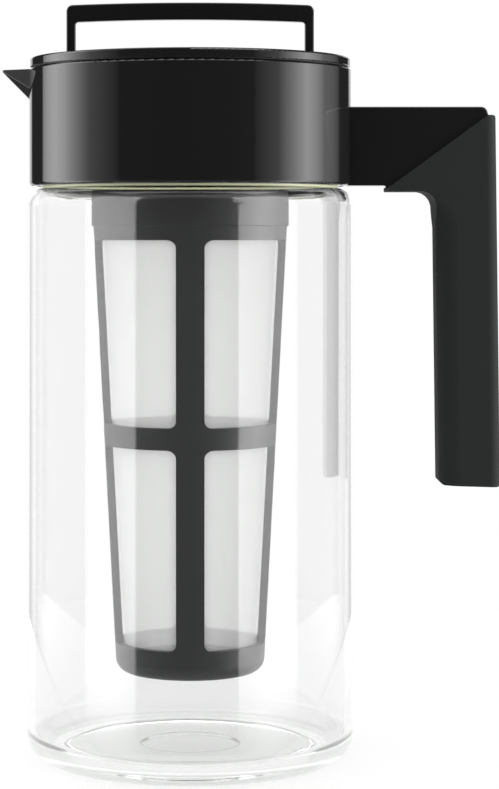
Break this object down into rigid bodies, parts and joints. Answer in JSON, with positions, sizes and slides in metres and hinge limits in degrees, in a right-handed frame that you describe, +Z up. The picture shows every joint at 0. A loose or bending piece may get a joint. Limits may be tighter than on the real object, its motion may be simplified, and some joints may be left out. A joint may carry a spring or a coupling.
{
  "type": "iced tea maker",
  "caption": "Clear cylindrical jar with a black spouted collar and side handle, a twist lid with a folding bail, and a tapered mesh filter hung from the lid.",
  "frame": {"origin": "on the jar's axis, in the plane that its foot stands on", "axes": "+Z up the jar's axis, +X towards the handle, -X towards the spout, -Y towards the viewer of the picture"},
  "size_m": [0.1444, 0.095, 0.2197],
  "materials": {
    "clear_plastic": "clear, polished",
    "black_gloss": "gloss",
    "dark_plastic": "satin",
    "soft_grip": "matt, soft to the touch",
    "pale_seal": "satin",
    "dark_seal": "matt",
    "woven_mesh": "fine plastic weave"
  },
  "bodies": {
    "pitcher": {"jar": "clear_plastic", "neck_gasket": "pale_seal", "collar": "black_gloss", "grip": "soft_grip"},
    "lid_seals": {"lower_seal": "pale_seal", "upper_seal": "dark_seal"},
    "lid": {"lid_cover": "black_gloss", "lid_plug": "dark_plastic"},
    "bail": {"bail": "black_gloss"},
    "filter": {"filter_ring": "dark_plastic", "filter_frame": "dark_plastic", "filter_mesh": "woven_mesh"}
  },
  "joints": [
    {"name": "lid_lift", "type": "slide", "parent": "pitcher", "child": "lid_seals", "axis": [0, 0, 1], "range_m": [0, 0.19]},
    {"name": "lid_turn", "type": "hinge", "parent": "lid_seals", "child": "lid", "pos_m": [0, 0, 0.1919], "axis": [0, 0, 1], "range_deg": [-60, 0]},
    {"name": "bail_fold", "type": "hinge", "parent": "lid", "child": "bail", "pos_m": [0, 0, 0.20155], "axis": [1, 0, 0], "range_deg": [-90, 90]},
    {"name": "filter_twist", "type": "hinge", "parent": "lid", "child": "filter", "pos_m": [0, 0, 0.17], "axis": [0, 0, 1], "range_deg": [-60, 0]}
  ]
}
